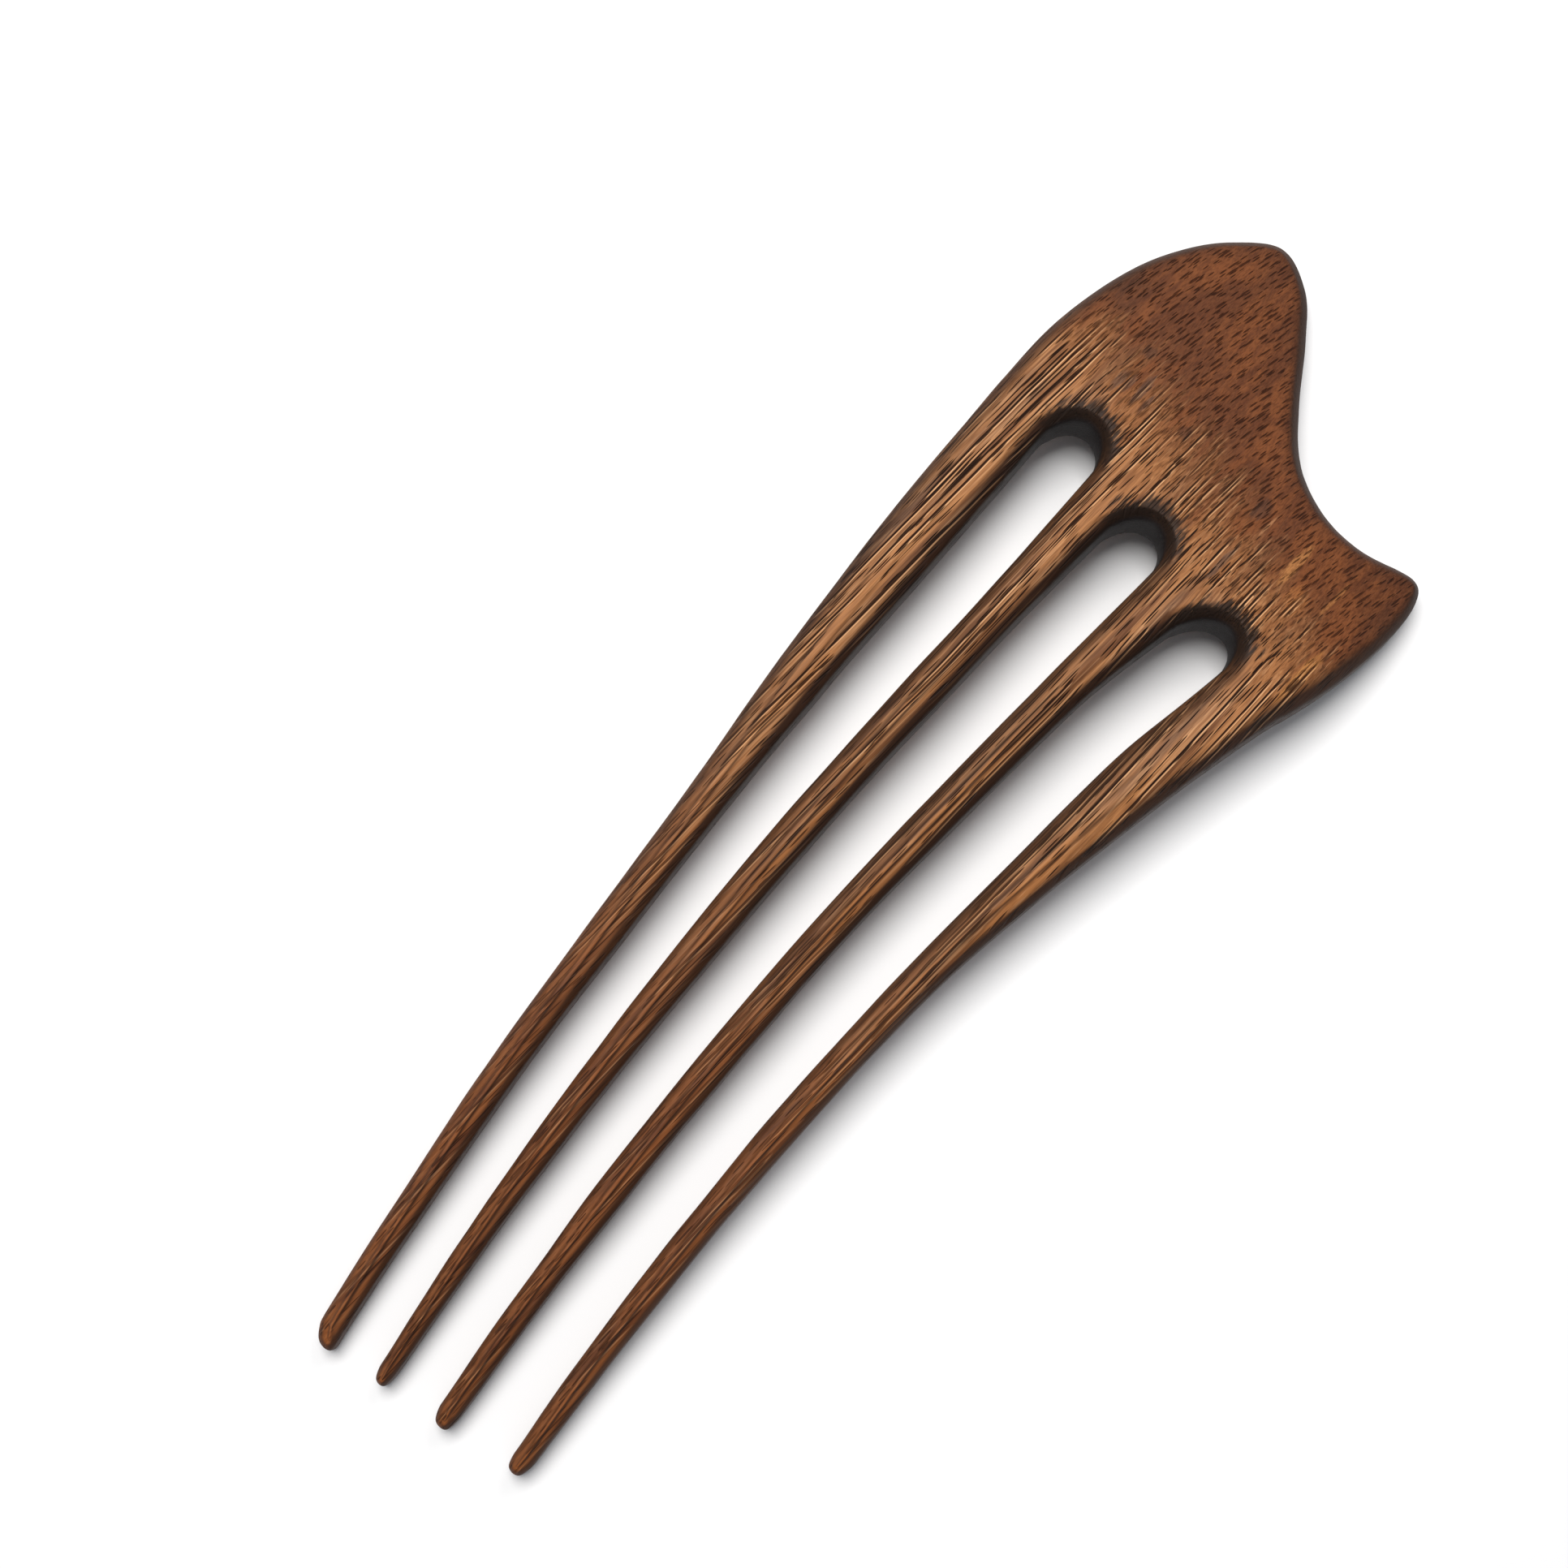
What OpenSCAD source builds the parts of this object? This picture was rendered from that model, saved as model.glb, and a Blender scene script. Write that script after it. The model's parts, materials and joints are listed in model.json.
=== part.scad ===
// Hair fork carved from one piece of open-grained wood, in millimetres.
// Four prongs lie along Y with their tips at -Y. The head at +Y has a tall horn on the left, a short
// horn on the right and a scoop between them. +Z is the face that shows when the fork is worn.
// The fork lies on its prong tips and its two horns, and bows up gently between them.

/* [Fork] */
// Length from the prong tips to the top of the tall horn
fork_l = 140; // [125:1:155]
// Width across the head
fork_w = 44.7; // [40:0.1:50]
// Height of the underside above the surface at the middle of the bow
bow_h = 2.6; // [0:0.1:5]

/* [Thickness] */
// Thickness at the prong tips
tip_t = 3; // [2.4:0.1:4]
// Thickness where the slots end
heart_t = 6.3; // [5:0.1:8]
// Thickness at the horns
horn_t = 3.5; // [2.6:0.1:5]

/* [Prongs] */
// Share of a prong's width that each rounded corner takes
prong_corner = 0.36; // [0.2:0.02:0.44]
// Height of the crown along the middle of each prong
crown_h = 0.2; // [0:0.05:0.4]
// Length of the rounded end of each prong
tip_l = 3; // [1.5:0.1:4]

/* [Edges] */
// Share of the thickness that each rounded corner takes
edge_share = 0.3; // [0.15:0.01:0.4]
// Width of the rounding at the middle of each slot's end
slot_rim = 1.4; // [0.6:0.1:1.8]

/* [Hidden] */

// The plan tables below have y from the longest prong's tip and x from the middle of the head. They are
// scaled at the end to the length and width above.

// Each prong from its tip to its root: y, middle x, width
prong_a = [
    [0, -12.9, 2.25],
    [3.2, -13.75, 2.45],
    [14, -15, 2.75],
    [28, -16.4, 3],
    [42, -17.2, 3.4],
    [58, -18, 3.9],
    [73, -18.7, 5],
    [90, -19, 6.35],
    [108.4, -18.95, 6.7]
];
prong_b = [
    [0.7, -7.05, 1.55],
    [4, -7.4, 1.85],
    [14, -8.4, 2.25],
    [28, -9.3, 2.8],
    [42, -9.7, 3.3],
    [58, -9.7, 3.6],
    [73, -9.2, 3.8],
    [92, -8.1, 4.15],
    [108.4, -7.1, 5.2]
];
prong_c = [
    [1.4, -0.5, 2],
    [4, -0.75, 2.2],
    [14, -1.4, 2.5],
    [28, -1.9, 2.95],
    [42, -1.9, 3.15],
    [58, -1.4, 3.4],
    [73, -0.2, 3.7],
    [88, 1.3, 4],
    [96, 2.45, 4.8],
    [104.2, 3.9, 6.2]
];
prong_d = [
    [2.6, 6.95, 1.75],
    [5, 6.95, 2.1],
    [14, 6.5, 2.5],
    [28, 6.3, 2.8],
    [42, 6.6, 3.1],
    [58, 7.7, 3.4],
    [73, 9.8, 4.6],
    [87, 12.2, 6.2],
    [95, 14.1, 6.7],
    [100, 15.4, 7.2]
];
prongs = [prong_a, prong_b, prong_c, prong_d];
last = len(prongs) - 1;

// Each slot from left to right: y where its rounded end begins
slot_roots = [106.5, 102.5, 98.6];

// The head's edge from the left prong's root to the right prong's root: x, y, width of its rounding
head_edge = [
    [-22.3, 108, 2.3],
    [-21.95, 117, 2],
    [-20.1, 126, 1.8],
    [-17.5, 132, 1.7],
    [-14.1, 136.8, 1.6],
    [-9.8, 140, 1.6],
    [-5.3, 137.8, 1.6],
    [-1.8, 132.8, 1.6],
    [1.4, 127.1, 1.6],
    [5.2, 121.7, 1.6],
    [10.1, 118.9, 1.6],
    [15, 118.5, 1.5],
    [20.3, 119.8, 1.2],
    [22.1, 118.1, 1.1],
    [22.25, 113, 1.5],
    [21, 106, 2],
    [18.5, 98.2, 2.4]
];
left_corner = 2;
right_corner = len(head_edge) - 3;

// The side view from the tips to the horns: share of the way, rise as a share of bow_h, and thickness as
// a share of the way from the end's thickness to heart_t
side_view = [
    [0, 0, 0],
    [0.15, 0.42, 0.22],
    [0.35, 0.82, 0.48],
    [0.6, 1, 0.76],
    [0.72, 0.94, 0.93],
    [0.8, 0.78, 1],
    [0.9, 0.42, 0.62],
    [1, 0, 0]
];
heart_at = 0.8;

// Lines through the prong tips and across both horns: y at x = 0 and slope
tip_line = [1.7, 0.13];
horn_line = [134.8, -0.69];

// Steps of the mesh
columns = 4;
stations = 17;
tip_steps = 4;
arc_steps = 10;
head_rows = 12;
edge_steps = 3;
// Stations over which each prong's crown fades in from its root
crown_fade = 3;
// Height of a slot's rounded end as a share of half its width
slot_end = 1.4;
// Length over which a slot's lean is measured
lean_run = 4;
// Power that draws the columns' upper ends towards the tall horn, so that they leave the slot ends upright
top_draw = 1.35;
// Powers of the rounded outlines: 2 is an ellipse, and more is squarer
corner_power = 1.9;
tip_power = 3;

// Smooth curves through a table's rows
function tangent(table, i, c) =
    let (a = max(i - 1, 0), b = min(i + 1, len(table) - 1))
    (table[b][c] - table[a][c]) / (table[b][0] - table[a][0]);

function blend(a, b, ta, tb, u) =
    a * (2 * u^3 - 3 * u^2 + 1) + b * (3 * u^2 - 2 * u^3) + ta * (u^3 - 2 * u^2 + u) + tb * (u^3 - u^2);

function row_below(table, y) = max([for (i = [0:len(table) - 2]) if (i == 0 || table[i][0] <= y) i]);

// Value of column c at y, where column 0 holds y
function at(table, y, c) =
    let (i = row_below(table, y), h = table[i + 1][0] - table[i][0])
    blend(table[i][c], table[i + 1][c], h * tangent(table, i, c), h * tangent(table, i + 1, c),
        (y - table[i][0]) / h);

// Whole row at place p along a table of points
function row_tangent(table, i) =
    let (a = max(i - 1, 0), b = min(i + 1, len(table) - 1)) (table[b] - table[a]) / (b - a);

function along(table, p) =
    let (i = min(floor(p), len(table) - 2))
    blend(table[i], table[i + 1], row_tangent(table, i), row_tangent(table, i + 1), p - i);

// Side view: how far along the bow a plan point lies, its underside and its thickness
function share(x, y) =
    let (low = tip_line[0] + tip_line[1] * x, high = horn_line[0] + horn_line[1] * x)
    min(1, max(0, (y - low) / (high - low)));

function underside(s) = bow_h * at(side_view, s, 1);

function thickness(s) =
    let (end_t = s < heart_at ? tip_t : horn_t) end_t + (heart_t - end_t) * at(side_view, s, 2);

// An outline point is [x, y, dx, dy], where dx and dy lead in to where the face becomes flat.
function side_point(prong, y, side) =
    let (w = at(prong, y, 2)) [at(prong, y, 1) + side * w / 2, y, -side * prong_corner * w, 0];

// A point on the rounded end of a prong, from angle 0 at its start to 90 at the very tip
function tip_point(prong, angle, side) =
    let (
        y0 = prong[0][0],
        w = at(prong, y0 + tip_l, 2),
        x = at(prong, y0 + tip_l * (1 - sin(angle)), 1),
        inset = prong_corner * w,
        out = [side * w / 2 * cos(angle)^(2 / tip_power), tip_l * (1 - sin(angle)^(2 / tip_power))],
        in = [side * (w / 2 - inset) * cos(angle)^(2 / tip_power),
            inset + (tip_l - inset) * (1 - sin(angle)^(2 / tip_power))]
    )
    [x + out[0], y0 + out[1], in[0] - out[0], in[1] - out[1]];

// One side of a prong from its root down to its tip, without the tip's own point
function prong_side(prong, root, side) =
    let (y0 = prong[0][0] + tip_l)
    concat(
        [for (i = [0:stations]) side_point(prong, root + (y0 - root) * i / stations, side)],
        [for (i = [1:tip_steps - 1]) tip_point(prong, 90 * i / tip_steps, side)]
    );

// Middle of slot k at y
function slot_middle(k, y) = (side_point(prongs[k], y, 1) + side_point(prongs[k + 1], y, -1)) / 2;

// The rounded end of slot k, between its two sides, leaning the way the slot does
function slot_arc(k) =
    let (
        root = slot_roots[k],
        left = side_point(prongs[k], root, 1),
        right = side_point(prongs[k + 1], root, -1),
        middle = slot_middle(k, root),
        r = (right[0] - left[0]) / 2,
        rise = r * slot_end,
        lean = rise * (middle[0] - slot_middle(k, root - lean_run)[0]) / lean_run
    )
    [for (i = [1:arc_steps - 1])
        let (
            angle = 180 - 180 * i / arc_steps,
            side_rim = (-left[2] + (right[2] + left[2]) * i / arc_steps),
            rim = side_rim + (slot_rim - side_rim) * sin(angle)
        )
        [middle[0] + r * cos(angle) + lean * sin(angle), root + rise * sin(angle),
            rim * cos(angle), rim * sin(angle)]];

// A point on the head's edge, with its way in square to the edge
function head_point(p) =
    let (
        step = 0.02,
        here = along(head_edge, p),
        run = along(head_edge, min(p + step, len(head_edge) - 1)) - along(head_edge, max(p - step, 0)),
        size = norm([run[0], run[1]])
    )
    [here[0], here[1], run[1] / size * here[2], -run[0] / size * here[2]];

// Roots of each prong's left and right sides
left_roots = concat([head_edge[0][1]], slot_roots);
right_roots = concat(slot_roots, [head_edge[len(head_edge) - 1][1]]);

left_sides = [for (k = [0:last]) prong_side(prongs[k], left_roots[k], -1)];
right_sides = [for (k = [0:last]) prong_side(prongs[k], right_roots[k], 1)];
tips = [for (k = [0:last]) tip_point(prongs[k], 90, 1)];
arcs = [for (k = [0:last - 1]) slot_arc(k)];

head_columns = len(prongs) * columns + last * arc_steps;
head_left = [for (j = [1:head_rows - 1]) head_point(left_corner * j / head_rows)];
head_top = [for (i = [0:head_columns])
    head_point(left_corner + (right_corner - left_corner) * (i / head_columns)^top_draw)];
head_right = [for (j = [1:head_rows - 1])
    head_point(len(head_edge) - 1 + (right_corner - len(head_edge) + 1) * j / head_rows)];

function backwards(list) = [for (i = [len(list) - 1:-1:0]) list[i]];

// The outline runs down and up each prong in turn from left to right, then back over the head.
side_n = stations + tip_steps;
prong_n = 2 * side_n + 1;
prong_parts = [for (k = [0:last])
    each concat(left_sides[k], [tips[k]], backwards(right_sides[k]), k < last ? arcs[k] : [])];
outline = concat(prong_parts, head_right, backwards(head_top), backwards(head_left));
outline_n = len(outline);

// Places in the outline
function left_id(k, i) = k * (prong_n + arc_steps - 1) + i;
function tip_id(k) = left_id(k, side_n);
function right_id(k, i) = left_id(k, prong_n - 1 - i);
function arc_id(k, i) = left_id(k, prong_n - 1 + i);
head_start = len(prongs) * prong_n + last * (arc_steps - 1);
function head_right_id(j) = j == 0 ? right_id(last, 0) : head_start + j - 1;
function head_top_id(i) = head_start + head_rows - 1 + head_columns - i;
head_left_start = head_start + 2 * head_rows + head_columns - 1;
function head_left_id(j) = j == 0 ? left_id(0, 0) : head_left_start - j;

// Where the face begins, inside the rounding of each outline point
function inner(i) = [outline[i][0] + outline[i][2], outline[i][1] + outline[i][3]];

// Face points inside the outline: the rungs across each prong, then the rows across the head.
// Each is [x, y, crown].
rung_points = [for (k = [0:last], i = [0:side_n - 1], c = [1:columns - 1])
    let (
        a = inner(left_id(k, i)),
        b = inner(right_id(k, i)),
        u = c / columns,
        spot = a + (b - a) * u,
        fade = min(1, i / crown_fade) * min(1, (side_n - i) / tip_steps)
    )
    [spot[0], spot[1], crown_h * fade * (1 - (2 * u - 1)^2)]];

function rung_id(k, i, c) =
    c == 0 ? left_id(k, i)
    : c == columns ? right_id(k, i)
    : outline_n + (k * side_n + i) * (columns - 1) + c - 1;

// The head's lower edge, along the prong roots and round the slot ends
head_low_ids = [for (k = [0:last])
    each concat(
        [for (c = [0:columns]) rung_id(k, 0, c)],
        k < last ? [for (i = [1:arc_steps - 1]) arc_id(k, i)] : []
    )];

function face_spot(id) =
    id < outline_n ? inner(id) : [rung_points[id - outline_n][0], rung_points[id - outline_n][1]];

head_points = [for (j = [1:head_rows - 1], i = [1:head_columns - 1])
    let (
        u = i / head_columns,
        v = j / head_rows,
        low = face_spot(head_low_ids[i]),
        high = face_spot(head_top_id(i)),
        left = face_spot(head_left_id(j)),
        right = face_spot(head_right_id(j)),
        corners = (1 - u) * (1 - v) * face_spot(head_low_ids[0])
            + u * (1 - v) * face_spot(head_low_ids[head_columns])
            + (1 - u) * v * face_spot(head_top_id(0))
            + u * v * face_spot(head_top_id(head_columns)),
        spot = (1 - v) * low + v * high + (1 - u) * left + u * right - corners
    )
    [spot[0], spot[1], 0]];
head_points_start = outline_n + len(rung_points);

function head_id(j, i) =
    j == 0 ? head_low_ids[i]
    : j == head_rows ? head_top_id(i)
    : i == 0 ? head_left_id(j)
    : i == head_columns ? head_right_id(j)
    : head_points_start + (j - 1) * (head_columns - 1) + i - 1;

face_points = concat(rung_points, head_points);
face_n = len(face_points);

// Triangles of one face, anticlockwise seen from above
function square(a, b, c, d) = [[a, b, c], [a, c, d]];
prong_triangles = [for (k = [0:last], i = [0:side_n - 2], c = [0:columns - 1])
    each square(rung_id(k, i + 1, c), rung_id(k, i + 1, c + 1), rung_id(k, i, c + 1), rung_id(k, i, c))];
tip_triangles = [for (k = [0:last], c = [0:columns - 1])
    [tip_id(k), rung_id(k, side_n - 1, c + 1), rung_id(k, side_n - 1, c)]];
head_triangles = [for (j = [0:head_rows - 1], i = [0:head_columns - 1])
    each square(head_id(j, i), head_id(j, i + 1), head_id(j + 1, i + 1), head_id(j + 1, i))];
face_triangles = concat(prong_triangles, tip_triangles, head_triangles);

// Rings from the upper face round the rim to the lower one: share of the way in, share of the rounding's
// height, and 1 on the upper side or 0 on the lower
quarter = [for (i = [0:edge_steps])
    let (angle = 90 * i / edge_steps)
    [1 - sin(angle)^(2 / corner_power), 1 - cos(angle)^(2 / corner_power)]];
rings = concat(
    [for (q = quarter) [q[0], q[1], 1]],
    [for (q = backwards(quarter)) [q[0], q[1], 0]]
);
ring_n = len(rings);

function extent(values) = max(values) - min(values);
x_scale = fork_w / extent([for (p = outline) p[0]]);
y_scale = fork_l / extent([for (p = outline) p[1]]);

// A corner of the solid above or below a plan point
function solid_point(x, y, crown, drop, upper) =
    let (
        s = share(x, y),
        t = thickness(s),
        low = underside(s),
        fall = drop * edge_share * t,
        z = upper == 1 ? low + t + crown - fall : low + fall
    )
    [x * x_scale, y * y_scale, z];

points = concat(
    [for (r = rings, p = outline) solid_point(p[0] + r[0] * p[2], p[1] + r[0] * p[3], 0, r[1], r[2])],
    [for (p = face_points) solid_point(p[0], p[1], p[2], 0, 1)],
    [for (p = face_points) solid_point(p[0], p[1], 0, 0, 0)]
);

function upper_id(id) = id < outline_n ? id : ring_n * outline_n + id - outline_n;
function lower_id(id) =
    id < outline_n ? (ring_n - 1) * outline_n + id : ring_n * outline_n + face_n + id - outline_n;

upper_faces = [for (t = face_triangles) [upper_id(t[0]), upper_id(t[2]), upper_id(t[1])]];
lower_faces = [for (t = face_triangles) [lower_id(t[0]), lower_id(t[1]), lower_id(t[2])]];
rim_faces = [for (r = [0:ring_n - 2], i = [0:outline_n - 1])
    let (next = (i + 1) % outline_n, a = r * outline_n, b = (r + 1) * outline_n)
    each [[a + i, a + next, b + next], [a + i, b + next, b + i]]];

// The middle of the fork's box and its lowest point, which go to the origin
xs = [for (p = points) p[0]];
ys = [for (p = points) p[1]];
zs = [for (p = points) p[2]];
middle = [(min(xs) + max(xs)) / 2, (min(ys) + max(ys)) / 2, min(zs)];

module hair_fork() {
    color("sienna")
        translate(-middle)
            polyhedron(points = points, faces = concat(upper_faces, lower_faces, rim_faces), convexity = 8);
}

hair_fork();
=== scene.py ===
import json
import math

import bpy
from mathutils import Matrix, Vector
from mathutils.kdtree import KDTree

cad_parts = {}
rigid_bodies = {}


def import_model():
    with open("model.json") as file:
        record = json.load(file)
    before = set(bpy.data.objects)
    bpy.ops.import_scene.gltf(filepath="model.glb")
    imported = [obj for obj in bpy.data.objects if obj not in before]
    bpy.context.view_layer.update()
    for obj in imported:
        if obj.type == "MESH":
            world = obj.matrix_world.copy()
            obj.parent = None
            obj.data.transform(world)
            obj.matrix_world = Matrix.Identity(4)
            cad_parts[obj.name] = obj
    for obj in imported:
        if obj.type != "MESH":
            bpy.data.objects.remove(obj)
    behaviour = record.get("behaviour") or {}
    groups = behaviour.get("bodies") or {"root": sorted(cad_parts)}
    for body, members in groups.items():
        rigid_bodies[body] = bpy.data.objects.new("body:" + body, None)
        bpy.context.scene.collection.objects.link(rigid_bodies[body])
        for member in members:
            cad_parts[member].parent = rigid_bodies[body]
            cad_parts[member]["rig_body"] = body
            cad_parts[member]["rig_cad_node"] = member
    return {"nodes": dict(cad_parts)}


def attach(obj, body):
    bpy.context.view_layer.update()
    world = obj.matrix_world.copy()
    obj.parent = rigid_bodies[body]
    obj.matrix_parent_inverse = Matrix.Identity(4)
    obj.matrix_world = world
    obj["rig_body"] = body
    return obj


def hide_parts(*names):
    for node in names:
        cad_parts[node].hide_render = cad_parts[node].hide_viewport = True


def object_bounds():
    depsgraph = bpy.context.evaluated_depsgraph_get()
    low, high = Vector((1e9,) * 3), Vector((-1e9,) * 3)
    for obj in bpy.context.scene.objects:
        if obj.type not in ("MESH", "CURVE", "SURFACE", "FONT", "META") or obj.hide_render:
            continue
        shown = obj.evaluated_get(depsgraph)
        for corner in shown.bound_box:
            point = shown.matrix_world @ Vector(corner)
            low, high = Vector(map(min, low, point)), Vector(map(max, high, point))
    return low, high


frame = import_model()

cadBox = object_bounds()
grainLean = 5.0  # degrees that the grain leans from the fork's length towards the short horn


def selectOnly(piece):
    bpy.ops.object.select_all(action="DESELECT")
    piece.select_set(True)
    bpy.context.view_layer.objects.active = piece


def applyModifiers(piece):
    selectOnly(piece)
    for modifier in list(piece.modifiers):
        bpy.ops.object.modifier_apply(modifier=modifier.name)


# Shader maths: a Value is one socket, and the usual signs between Values add Math nodes
class Value:
    def __init__(self, shader, socket):
        self.shader, self.socket = shader, socket

    def math(self, operation, *values):
        return self.shader.node("ShaderNodeMath", {"operation": operation}, dict(enumerate(values)))

    def __add__(self, other):
        return self.math("ADD", self, other)

    def __radd__(self, other):
        return self.math("ADD", other, self)

    def __sub__(self, other):
        return self.math("SUBTRACT", self, other)

    def __rsub__(self, other):
        return self.math("SUBTRACT", other, self)

    def __mul__(self, other):
        return self.math("MULTIPLY", self, other)

    def __rmul__(self, other):
        return self.math("MULTIPLY", other, self)

    def __truediv__(self, other):
        return self.math("DIVIDE", self, other)

    def __rtruediv__(self, other):
        return self.math("DIVIDE", other, self)

    def __pow__(self, other):
        return self.math("POWER", self, other)

    def __rpow__(self, other):
        return self.math("POWER", other, self)

    def __abs__(self):
        return self.math("ABSOLUTE", self)


class Shader:
    def __init__(self, name):
        self.material = bpy.data.materials.new(name)
        self.material.use_nodes = True
        self.tree = self.material.node_tree
        self.tree.nodes.clear()

    def node(self, kind, settings=None, sockets=None, output=0):
        made = self.tree.nodes.new(kind)
        for key, setting in (settings or {}).items():
            setattr(made, key, setting)
        for key, value in (sockets or {}).items():
            if isinstance(value, Value):
                self.tree.links.new(value.socket, made.inputs[key])
            else:
                made.inputs[key].default_value = value
        return Value(self, made.outputs[output]) if made.outputs else None

    def also(self, value, output):  # another output of the node that a Value comes from
        return Value(self, value.socket.node.outputs[output])

    def smooth(self, value, low, high):  # 0 at low, 1 at high, with eased ends
        return self.node("ShaderNodeMapRange", {"interpolation_type": "SMOOTHSTEP"},
                         {"Value": value, "From Min": low, "From Max": high})

    def most(self, first, *others):
        for other in others:
            first = self.node("ShaderNodeMath", {"operation": "MAXIMUM"}, {0: first, 1: other})
        return first

    def swing(self, noise, far):  # a noise turned into a push to either side
        return (noise - 0.5) * far

    def mix(self, factor, first, second, blend="MIX"):  # 6 and 7 are a Mix node's colours
        return self.node("ShaderNodeMix", {"data_type": "RGBA", "blend_type": blend},
                         {0: factor, 6: first, 7: second}, 2)

    def shade(self, factor, colour, darker):
        return self.mix(factor, colour, self.mix(1.0, colour, darker, "MULTIPLY"))

    def vector(self, x, y, z):
        return self.node("ShaderNodeCombineXYZ", {}, {0: x, 1: y, 2: z})

    def split(self, vector):
        first = self.node("ShaderNodeSeparateXYZ", {}, {0: vector})
        return first, self.also(first, 1), self.also(first, 2)

    def noise(self, vector, detail, roughness=0.5):
        return self.node("ShaderNodeTexNoise", {}, {
            "Vector": vector, "Scale": 1.0, "Detail": detail, "Roughness": roughness})

    def cells(self, x, y, scatter):  # distance to the nearest cell's middle, and two chances for it
        cell = self.node("ShaderNodeTexVoronoi", {"voronoi_dimensions": "2D"}, {
            "Vector": self.vector(x, y, 0.0), "Scale": 1.0, "Randomness": scatter})
        chance, phase, _ = self.split(self.also(cell, "Color"))
        return cell, chance, phase


def colour(red, green, blue):
    return (red, green, blue, 1.0)


# Camera: looks down on the fork a little from the right and from the tips
view = {
    "aim": (-0.01325, -0.00512, 0.0065),  # the point at the middle of the frame
    "lean": (8.0, -10.0),  # degrees off upright, to the right and away from the head
    "distance": 0.180,
    "turn": 50.0,  # degrees that the fork's length rises from level in the frame
    "lens": 44.72,
    "sensor": 36.0,
    "clip": (0.005, 20.0),
}


def makeCamera():
    leanRight, leanUp = [math.tan(math.radians(angle)) for angle in view["lean"]]
    back = Vector((leanRight, leanUp, 1)).normalized()
    along = Vector((0, 1, 0))
    along = (along - back * along.dot(back)).normalized()
    across = along.cross(back)
    turn = math.radians(view["turn"])
    right = along * math.cos(turn) + across * math.sin(turn)
    up = along * math.sin(turn) - across * math.cos(turn)
    axes = Matrix((right, up, back)).transposed().to_4x4()
    bpy.ops.object.camera_add()
    camera = bpy.context.object
    camera.name = "camera"
    camera.matrix_world = Matrix.Translation(Vector(view["aim"]) + back * view["distance"]) @ axes
    camera.data.sensor_width = view["sensor"]
    camera.data.lens = view["lens"]
    camera.data.clip_start, camera.data.clip_end = view["clip"]
    bpy.context.scene.camera = camera


makeCamera()
print("camera set")

# Studio: pale floor, pale surroundings, a broad window-like light from the fork's left and a weak one
# from the head's side
studio = {
    "floor": 6.0,
    "floorColour": colour(0.80, 0.80, 0.81),
    "floorRoughness": 0.7,
    "floorGloss": 0.2,
    "world": colour(0.93, 0.96, 1.0),
    "worldStrength": 0.36,
    "lights": [  # place, size, watts, colour
        ((-0.15, 0.05, 0.52), 0.32, 3.2, (1.0, 0.985, 0.96)),
        ((-0.06, 0.40, 0.40), 0.25, 0.6, (1.0, 0.97, 0.93)),
    ],
}


def makeStudio():
    bpy.ops.mesh.primitive_plane_add(size=studio["floor"])
    floor = bpy.context.object
    floor.name = "floor"
    paint = Shader("pale floor")
    shaded = paint.node("ShaderNodeBsdfPrincipled", {}, {
        "Base Color": studio["floorColour"], "Roughness": studio["floorRoughness"],
        "Specular IOR Level": studio["floorGloss"]})
    paint.node("ShaderNodeOutputMaterial", {}, {"Surface": shaded})
    floor.data.materials.append(paint.material)
    world = bpy.data.worlds.new("studio")
    world.use_nodes = True
    bpy.context.scene.world = world
    sky = world.node_tree.nodes["Background"]
    sky.inputs["Color"].default_value = studio["world"]
    sky.inputs["Strength"].default_value = studio["worldStrength"]
    for number, (place, size, watts, tint) in enumerate(studio["lights"]):
        bpy.ops.object.light_add(type="AREA", location=place)
        light = bpy.context.object
        light.name = f"light_{number}"
        light.data.size = size
        light.data.energy = watts
        light.data.color = tint
        aim = Vector(view["aim"]) - Vector(place)
        light.rotation_euler = aim.to_track_quat("-Z", "Y").to_euler()
    bpy.context.scene.view_settings.view_transform = "Standard"


makeStudio()
print("studio set")

# The fork's finished shape
carving = {
    "weld": 0.000001,  # corners nearer than this are one corner
    "levels": 2,  # of subdivision
    "fits": 3,  # times that the cage is corrected
    "waveScale": 0.010,  # size of the knife's broad unevenness
    "waveDetail": 1,
    "waveDepth": 0.00020,
    "grainScale": (0.0009, 0.018, 0.0009),  # size of the raised grain across, along and through
    "grainDetail": 2,
    "grainDepth": 0.00006,
    "middle": 0.72,  # share of each pattern that cuts in
    "sideFacing": 0.3,  # faces that look up less than this count as sides
    "rimWidth": 0.0032,  # how far the dark rim reaches in from the sides
}


def roundOff(piece):
    rounding = piece.modifiers.new("rounding", "SUBSURF")
    rounding.levels = rounding.render_levels = carving["levels"]
    applyModifiers(piece)


# Subdivision draws a surface in from its cage, so the cage moves out until the surface meets its old
# corners
def fitCage(piece):
    corners = [corner.co.copy() for corner in piece.data.vertices]
    for _ in range(carving["fits"]):
        selectOnly(piece)
        bpy.ops.object.duplicate()
        trial = bpy.context.object
        roundOff(trial)
        for corner, reached, goal in zip(piece.data.vertices, trial.data.vertices, corners):
            corner.co += goal - reached.co
        bpy.data.objects.remove(trial)


def carve(piece, name, scale, detail, depth, guide=None):
    texture = bpy.data.textures.new(name, "CLOUDS")
    texture.noise_scale = scale
    texture.noise_depth = detail
    texture.noise_basis = "ORIGINAL_PERLIN"
    modifier = piece.modifiers.new(name, "DISPLACE")
    modifier.texture = texture
    modifier.strength = depth
    modifier.mid_level = carving["middle"]
    modifier.texture_coords = "OBJECT" if guide else "LOCAL"
    modifier.texture_coords_object = guide


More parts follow.
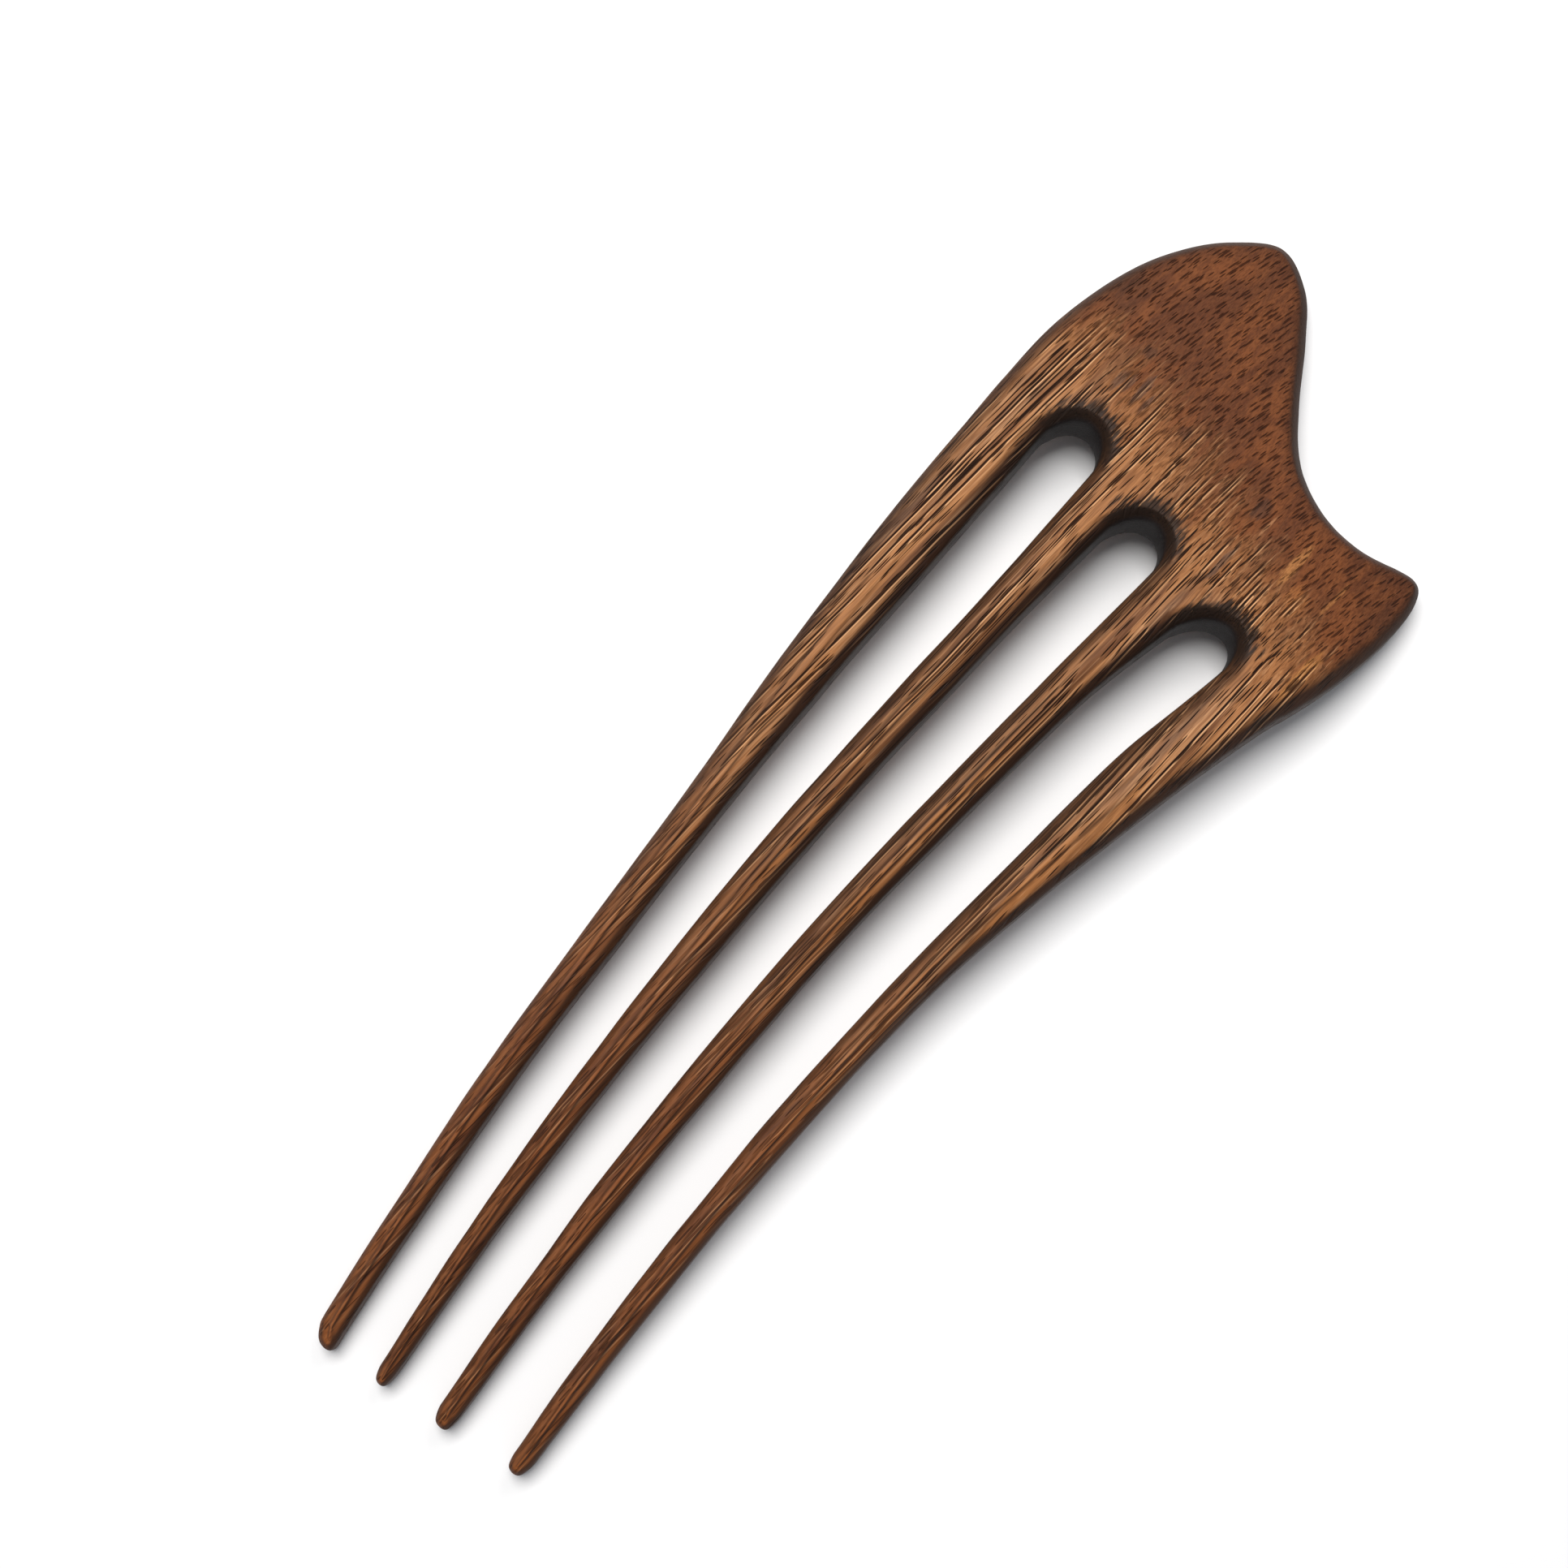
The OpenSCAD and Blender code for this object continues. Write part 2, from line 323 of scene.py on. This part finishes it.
# How near each place is to the outline or to a slot: 1 at the side faces, 0 at the rim's width from them
def markRim(piece):
    corners = piece.data.vertices
    sides = [corner.co for corner in corners if abs(corner.normal.z) < carving["sideFacing"]]
    tree = KDTree(len(sides))
    for number, place in enumerate(sides):
        tree.insert(place, number)
    tree.balance()
    rim = piece.data.attributes.new("rim", "FLOAT", "POINT")
    for corner, mark in zip(corners, rim.data):
        mark.value = max(0.0, 1.0 - tree.find(corner.co)[2] / carving["rimWidth"])


def makeFork():
    selectOnly(frame["nodes"]["hair_fork"])
    bpy.ops.object.duplicate()
    fork = bpy.context.object
    fork.name = "carved_fork"
    fork.parent = None
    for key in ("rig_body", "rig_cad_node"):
        del fork[key]
    selectOnly(fork)
    bpy.ops.object.mode_set(mode="EDIT")
    bpy.ops.mesh.select_all(action="SELECT")
    bpy.ops.mesh.remove_doubles(threshold=carving["weld"])
    bpy.ops.mesh.tris_convert_to_quads()
    bpy.ops.object.mode_set(mode="OBJECT")
    fitCage(fork)
    roundOff(fork)
    bpy.ops.object.empty_add(rotation=(0, 0, -math.radians(grainLean)))
    guide = bpy.context.object  # gives the raised grain its direction and size
    guide.scale = carving["grainScale"]
    bpy.context.view_layer.update()
    carve(fork, "knife", carving["waveScale"], carving["waveDetail"], carving["waveDepth"])
    carve(fork, "grain", 1.0, carving["grainDetail"], carving["grainDepth"], guide)
    applyModifiers(fork)
    bpy.data.objects.remove(guide)
    low, high = cadBox
    for corner in fork.data.vertices:  # nothing past the CAD's box
        corner.co = [min(max(value, least), most) for value, least, most in zip(corner.co, low, high)]
    selectOnly(fork)
    bpy.ops.object.shade_smooth()
    fork.data.materials.clear()
    markRim(fork)
    return fork


fork = makeFork()
print("fork shaped:", len(fork.data.polygons), "faces")

# The wood. Pores and furrows are tubes that run along the grain through the whole piece, and show as
# long grooves on the faces. The head's short dashes and the thin scratches below it are drawn on the
# faces from above.
wood = {
    "grainRise": 1.0,  # degrees that the grain climbs towards the head
    "bends": {  # cells in a mm across and along the grain, how far it is pushed in mm, two shifts
        "wander": (0.06, 0.020, 1.8, 0.0, 0.0),
        "ripple": (0.5, 0.11, 0.3, 0.0, 3.1),
        "drift": (0.05, 0.017, 1.6, 7.3, 0.0),
    },
    "noises": {  # cells in a mm across and along the grain, detail, roughness, shift
        "fibre": (7.0, 0.22, 2.0, 0.6, 1.7),
        "pale": (3.6, 0.07, 1.0, 0.5, 4.4),
        "streak": (1.15, 0.030, 3.0, 0.55, 5.2),
        "band": (0.36, 0.009, 2.0, 0.55, 3.1),
        "patch": (0.16, 0.07, 3.0, 0.55, 0.0),
        "ragged": (2.6, 0.22, 3.0, 0.65, 2.9),
    },
    # tubes in a mm, radius in mm, flatness, length that stays open in mm, how rare, shift
    "pores": (2.9, 0.085, 0.75, 10.0, 0.38, 0.0),
    "furrows": (2.3, 0.115, 0.16, 12.0, 0.36, 5.3),
    "tube": {
        "scatter": 0.92,  # how unevenly the tubes stand
        "apart": 40.0,  # steps through the opening noise from one tube to the next
        "opening": 0.12,  # rise of that noise from a shut tube to an open one
        "least": 0.62,  # share of the radius that the thinnest tube has
        "spread": 0.5,  # what chance adds to it
        "core": 0.7,  # share of the reach that is fully open
        "blur": 0.01,  # in cells
    },
    # the raised fibre beside each furrow gets a bump and a painted highlight on its lit side
    "ridgeOffset": 0.17,  # mm from the middle of a furrow to the raised fibre on its right
    "ridgeWidth": 0.85,  # share of a furrow's width
    # cells in a mm, times longer than wide, half width in mm, shift
    "dashes": [(2.2, 8.0, 0.125, 0.0), (2.8, 7.0, 0.095, 21.4)],
    "scratches": (2.7, 20.0, 0.080, 41.9),
    "dash": {
        "scatter": 1.0,
        "slant": 0.5,  # how far a dash shifts for each mm of height
        "least": 0.45,  # share of the half width that the thinnest dash has
        "spread": 0.6,
        "core": 0.45,
    },
    "marks": [  # x, y, half width, half length in mm, colour, strength
        (10.8, 42.0, 0.55, 2.9, (0.400, 0.170, 0.055), 0.80),
        (15.7, 41.7, 0.24, 2.6, (0.360, 0.145, 0.045), 0.60),
        (6.5, 43.4, 0.15, 1.8, (0.420, 0.200, 0.090), 0.55),
        (12.9, 39.2, 1.20, 1.7, (0.330, 0.120, 0.034), 0.60),
        (17.6, 33.0, 0.60, 3.6, (0.420, 0.175, 0.045), 0.60),
        (-13.3, 46.2, 0.45, 1.8, (0.070, 0.040, 0.030), 0.65),
        (-12.3, 46.5, 0.35, 1.5, (0.070, 0.040, 0.030), 0.60),
        (-10.9, 46.8, 0.50, 2.1, (0.070, 0.040, 0.030), 0.65),
        (-9.8, 45.6, 0.30, 1.6, (0.070, 0.040, 0.030), 0.60),
        (-12.8, 50.3, 0.70, 0.9, (0.060, 0.028, 0.018), 0.50),
        (-18.7, 39.8, 0.50, 1.9, (0.070, 0.036, 0.024), 0.60),
        (-13.2, 42.8, 1.30, 1.5, (0.330, 0.150, 0.070), 0.50),
        (-5.1, 45.8, 0.80, 0.9, (0.060, 0.022, 0.012), 0.60),
        (5.3, 37.5, 0.35, 2.6, (0.075, 0.048, 0.038), 0.65),
        (5.1, 44.5, 0.90, 1.4, (0.060, 0.028, 0.018), 0.60),
    ],
    "slotEnds": [  # middle x and y where each rounded end begins, half width, rise, lean, in mm
        (-12.7, 36.5, 2.9, 4.1, 0.0),
        (-2.25, 32.5, 2.85, 4.0, 0.09),
        (8.45, 28.6, 2.95, 4.15, 0.22),
    ],
    "scorchAndShade": {  # in mm, where not said otherwise; "Above" is added over the slot's end
        "rightSide": (-0.6, 0.4),  # in half widths, where the left side changes into the right one
        "higher": 5.0,  # how much sooner the mark stops on the right side
        "fade": (-7.5, -1.5),  # from where the rounded end begins
        "fadeRagged": 6.0,
        "crown": 0.9,  # share of the rise at which "Above" is added in full
        "reach": 0.30,
        "reachAbove": 0.72,
        "ragged": 1.0,
        "raggedAbove": 3.4,
        "blur": 0.35,
        "blurAbove": 0.55,
        "wall": (0.05, 0.35),  # from the slot's side
        "wallFade": (-2.5, 0.5),  # from where the rounded end begins
    },
    "headSlope": 0.36,  # how steeply the head's border falls towards the short horn
    "masks": {  # where each one begins and where it is full
        "head": (37.5, 47.0),  # mm up the fork
        "amber": (28.0, 40.0),
        "body": (0.0, 26.0),  # from the slim prongs to the broad part
        "low": (-12.0, 40.0),  # mm down the fork
        # faces that look up less squarely than this get painted shade
        "flat": (0.78, 0.988),  # how squarely a face looks up or down
        # the prongs' faces that look straight up get a painted highlight
        "top": (0.93, 0.995),
        "upward": (0.45, 0.85),
        "dashed": (0.80, 0.98),
        # faces that look right get painted shade, and those that look left a duller painted shade
        "shadedRightSide": (0.08, 0.55),  # how much a face looks towards the short horn's side
        "shadedBevel": (0.08, 0.42),  # how much a face looks towards the tall horn's side
        "ungrooved": (0.35, 1.0),  # share of the head's mask
        "pale": (0.50, 0.66),  # parts of the noises
        "gold": (0.34, 0.56),
        "grey": (0.54, 0.66),
        "orange": (0.40, 0.62),
        "bright": (0.36, 0.60),
        "mark": (0.2, 1.3),
    },
    "pushes": {  # how far the noises move each border
        "head": 14.0, "amber": 10.0, "low": 16.0, "flat": 0.05, "orange": 0.7, "mark": 3.0,
    },
    "amounts": {  # how fully each layer covers the ones before it, and what else changes that
        "grey": 0.75, "greySlim": 0.45, "pale": 0.35, "amber": 0.55, "low": 0.85, "head": 0.92,
        "rim": 0.45, "rimRagged": 0.5, "top": 0.35, "shadedBevel": 0.50, "bevelSlim": 0.25, "bevelLow": 0.6,
        "edge": 0.66, "edgeLow": 0.2, "shadedRightSide": 0.40, "fibreSlim": 0.45,
        "litRidge": 0.68, "ridgeSlim": 0.28, "ridgeEdge": 0.7, "grooveLow": 0.6,
        "poreSlim": 0.35, "poreEdge": 0.3, "burntAndShaded": 0.94,
    },
    "colours": {
        "gold": colour(0.390, 0.170, 0.064),
        "slimGold": colour(0.345, 0.138, 0.044),
        "brown": colour(0.145, 0.054, 0.019),
        # colour of the painted highlight on the raised fibres and on the pale streaks
        "litRidge": colour(0.740, 0.400, 0.195),
        "amber": colour(0.270, 0.102, 0.032),
        "red": colour(0.100, 0.029, 0.010),
        "orange": colour(0.158, 0.047, 0.0138),
        "rim": colour(0.055, 0.020, 0.010),
        "grey": colour(0.100, 0.055, 0.036),
        # colour of the painted shade on the faces that look left
        "shadedBevel": colour(0.078, 0.038, 0.021),
        # lighter colour of the painted highlight on the prongs' tops
        "top": colour(0.370, 0.155, 0.050),
        "low": colour(0.190, 0.055, 0.014),
        "lowBrown": colour(0.105, 0.029, 0.009),
        # colour of the painted shade on the sides
        "edge": colour(0.036, 0.016, 0.009),
        "char": colour(0.018, 0.014, 0.014),
        # colour of the real scorch round the slots' ends and of the painted shade down their left sides
        "burntAndShaded": colour(0.016, 0.009, 0.006),
        "fibreShade": colour(0.66, 0.62, 0.59),
        "poreShade": colour(0.07, 0.05, 0.04),
        "headPoreShade": colour(0.34, 0.30, 0.29),
    },
    "roughness": {"plain": 0.50, "fibre": 0.2, "pore": 0.3},
    "relief": {"fibre": 0.22, "fibreSlim": 0.1, "litRidge": 0.3, "poreHead": 0.45},
    "reliefDepth": 0.00016,
    "gloss": 0.13,
}


# The scorched mark round each slot's end, with painted shade running down its left side, and the charred
# wall inside it
def slotMarksAndShade(s, x, y, ragged):
    burnAndShade = wood["scorchAndShade"]
    marks, walls = [], []
    for middleX, startY, half, rise, lean in wood["slotEnds"]:
        above = y - startY
        over = s.most(above, 0.0)
        across = (x - middleX - above * lean) / half
        gap = ((across * across + (over / rise) ** 2.0) ** 0.5 - 1.0) * half
        # the mark is widest above the slot, and runs further down its left side than its right one; that
        # longer run, on the right face of the prong beside it, is painted shade
        start = startY + s.smooth(across, *burnAndShade["rightSide"]) * burnAndShade["higher"]
        fadeLow, fadeHigh = burnAndShade["fade"]
        fade = s.smooth(y + s.swing(ragged, burnAndShade["fadeRagged"]), start + fadeLow, start + fadeHigh)
        top = s.smooth(over, 0.0, rise * burnAndShade["crown"])
        reach = burnAndShade["reach"] + top * burnAndShade["reachAbove"]
        end = reach + burnAndShade["blur"] + top * burnAndShade["blurAbove"]
        tongues = s.swing(ragged, burnAndShade["ragged"] + top * burnAndShade["raggedAbove"])
        marks.append((1.0 - s.smooth(gap + tongues, reach, end)) * fade)
        wallLow, wallHigh = burnAndShade["wallFade"]
        inside = s.smooth(y, startY + wallLow, startY + wallHigh)
        walls.append((1.0 - s.smooth(gap, *burnAndShade["wall"])) * inside)
    return s.most(*marks), s.most(*walls)


def makeWood():
    s = Shader("oiled open-grained wood")
    mask, push, amount, tint = wood["masks"], wood["pushes"], wood["amounts"], wood["colours"]
    place = s.node("ShaderNodeTexCoord", output="Object")
    mm = s.node("ShaderNodeVectorMath", {"operation": "SCALE"}, {0: place, "Scale": 1000.0})
    x, y, _ = s.split(mm)
    rightward, _, upright = s.split(s.also(place, "Normal"))
    facing = abs(upright)
    turn = (-math.radians(wood["grainRise"]), 0, math.radians(grainLean))
    turned = s.node("ShaderNodeMapping", {}, {"Vector": mm, "Rotation": turn})
    straightX, gy, straightZ = s.split(turned)

    def bend(name):
        across, along, far, shiftX, shiftZ = wood["bends"][name]
        cells = s.vector(straightX * across + shiftX, gy * along, straightZ * across + shiftZ)
        return s.swing(s.noise(cells, 1.0), far)

    gx = straightX + bend("wander") + bend("ripple")
    gz = straightZ + bend("drift")

    def grain(name):
        across, along, detail, roughness, shift = wood["noises"][name]
        return s.noise(s.vector(gx * across + shift, gy * along, gz * across), detail, roughness)

    def tubes(number, radius, flatness, length, rarity, shift):
        form = wood["tube"]
        cell, chance, phase = s.cells(gx * number + shift, gz * number * flatness, form["scatter"])
        steps = s.vector(gy * (1.0 / length) + phase * form["apart"], chance * form["apart"], 0.0)
        opening = s.smooth(s.noise(steps, 1.0), rarity, rarity + form["opening"])
        reach = opening * (form["least"] + chance * form["spread"]) * (radius * number)
        return 1.0 - s.smooth(cell, reach * form["core"], reach + form["blur"])

    def dashes(number, stretch, half, shift):
        form = wood["dash"]
        slanted = gz * form["slant"]
        cell, chance, _ = s.cells((gx + slanted) * number + shift,
                                  (gy + slanted) * (number / stretch), form["scatter"])
        reach = (form["least"] + chance * form["spread"]) * (half * number)
        return 1.0 - s.smooth(cell, reach * form["core"], reach)

    fibre, streak, band, patch, ragged = [
        grain(name) for name in ("fibre", "streak", "band", "patch", "ragged")]
    pale = s.smooth(grain("pale"), *mask["pale"])

    # Where the head turns darker and redder, and where the prongs darken towards their tips, partly
    # their own tone and partly painted shade
    upFork = y + x * wood["headSlope"]
    head = s.smooth(upFork + s.swing(patch, push["head"]) + s.swing(streak, push["head"]),
                    *mask["head"])
    low = s.smooth(s.swing(streak, push["low"]) - y, *mask["low"])
    slim = 1.0 - s.smooth(y, *mask["body"])

    # Where the faces turn away, painted shade: rounded edges all round darker, right sides darker still,
    # left ones greyer
    edge = 1.0 - s.smooth(facing + s.swing(patch, push["flat"]), *mask["flat"])
    shadedRightSide = s.smooth(rightward, *mask["shadedRightSide"])
    shadedBevel = s.smooth(rightward * -1.0, *mask["shadedBevel"])
    scorchAndShade, wall = slotMarksAndShade(s, x, y, ragged)

    # Pores, scratches, dashes and furrows. The side faces show only the pores.
    upward = s.smooth(facing, *mask["upward"]) * (1.0 - low * amount["grooveLow"])
    grooved = (1.0 - s.smooth(head, *mask["ungrooved"])) * upward
    pores = tubes(*wood["pores"]) * (1.0 - slim * amount["poreSlim"])
    pores = s.most(pores, dashes(*wood["scratches"]) * upward) * (1.0 - head)
    headPores = s.most(*[dashes(*row) for row in wood["dashes"]])
    headPores = headPores * head * s.smooth(facing, *mask["dashed"])
    pore = s.most(pores, headPores, tubes(*wood["furrows"]) * grooved)
    # a raised fibre on the right of each furrow: a bump, and a painted highlight where the light would
    # fall
    number, radius, flatness, length, rarity, shift = wood["furrows"]
    litRidge = tubes(number, radius * wood["ridgeWidth"], flatness, length, rarity,
                  shift - number * wood["ridgeOffset"])
    litRidge = litRidge * (1.0 - head) * upward

    # Colours, each laid over the ones before it
    golden = s.smooth(streak, *mask["gold"])
    base = s.mix(golden, tint["brown"], s.mix(slim, tint["gold"], tint["slimGold"]))
    grey = s.smooth(band, *mask["grey"]) * (amount["grey"] - slim * amount["greySlim"])
    base = s.mix(grey, base, tint["grey"])
    # pale streaks along the grain, laid in the highlight colour: painted sheen
    base = s.mix(pale * amount["pale"], base, tint["litRidge"])
    amber = s.smooth(upFork + s.swing(streak, push["amber"]), *mask["amber"])
    base = s.mix(amber * amount["amber"], base, tint["amber"])
    # the prongs' lower parts darker and browner: partly the wood's tone, partly painted shade
    base = s.mix(low * amount["low"], base, s.mix(golden, tint["lowBrown"], tint["low"]))
    orange = s.smooth(patch + s.swing(streak, push["orange"]), *mask["orange"])
    base = s.mix(head * amount["head"], base, s.mix(orange, tint["red"], tint["orange"]))

    leanAcross, leanAlong = math.sin(math.radians(grainLean)), math.cos(math.radians(grainLean))
    for markX, markY, halfWide, halfLong, markTint, strength in wood["marks"]:
        across = abs(straightX - (markX * leanAlong - markY * leanAcross)) / halfWide
        along = abs(gy - (markX * leanAcross + markY * leanAlong)) / halfLong
        spread = across * across + along * along + s.swing(ragged, push["mark"])
        mark = 1.0 - s.smooth(spread, *mask["mark"])
        base = s.mix(mark * strength, base, colour(*markTint))

    rim = s.node("ShaderNodeAttribute", {"attribute_name": "rim"}, output=2)
    rim = rim * head * (amount["rim"] + ragged * amount["rimRagged"])
    base = s.mix(rim, base, tint["rim"])
    # painted highlight: the faces that look straight up on the slim prongs turn lighter
    top = s.smooth(facing, *mask["top"]) * slim * (1.0 - low) * amount["top"]
    base = s.mix(top, base, tint["top"])
    # painted shade: the faces that look left turn a duller grey-brown
    shadedBevel = shadedBevel * (amount["shadedBevel"] + slim * amount["bevelSlim"]) * (1.0 - low * amount["bevelLow"])
    base = s.mix(shadedBevel, base, tint["shadedBevel"])
    # painted shade on the faces that turn from upright, strongest on those that look right
    paintedShade = edge * (amount["edge"] - low * amount["edgeLow"]) + shadedRightSide * amount["shadedRightSide"]
    base = s.mix(paintedShade, base, tint["edge"])
    dull = (1.0 - s.smooth(fibre, *mask["bright"])) * (1.0 - slim * amount["fibreSlim"])
    base = s.shade(dull, base, tint["fibreShade"])
    # painted highlight on the raised fibres beside the furrows
    light = litRidge * (amount["litRidge"] - slim * amount["ridgeSlim"]) * (1.0 - edge * amount["ridgeEdge"])
    base = s.mix(light, base, tint["litRidge"])
    pore = pore * (1.0 - edge * amount["poreEdge"]) * (1.0 - wall)
    base = s.shade(pore, base, s.mix(head, tint["poreShade"], tint["headPoreShade"]))
    # real scorch round the slots' ends, and painted shade down their left sides
    base = s.mix(scorchAndShade * amount["burntAndShaded"], base, tint["burntAndShaded"])
    base = s.mix(wall, base, tint["char"])

    roughness, relief = wood["roughness"], wood["relief"]
    rough = roughness["plain"] + s.swing(fibre, roughness["fibre"]) + pore * roughness["pore"]
    height = s.swing(fibre, relief["fibre"] - slim * relief["fibreSlim"]) + litRidge * relief["litRidge"]
    height = height - pore * (1.0 - head * relief["poreHead"])
    bump = s.node("ShaderNodeBump", {}, {
        "Height": height, "Strength": 1.0, "Distance": wood["reliefDepth"]})
    shaded = s.node("ShaderNodeBsdfPrincipled", {}, {
        "Base Color": base, "Roughness": rough, "Normal": bump, "Specular IOR Level": wood["gloss"]})
    s.node("ShaderNodeOutputMaterial", {}, {"Surface": shaded})
    return s.material


fork.data.materials.append(makeWood())
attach(fork, "root")
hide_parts("hair_fork")
print("wood made")

bpy.context.view_layer.update()
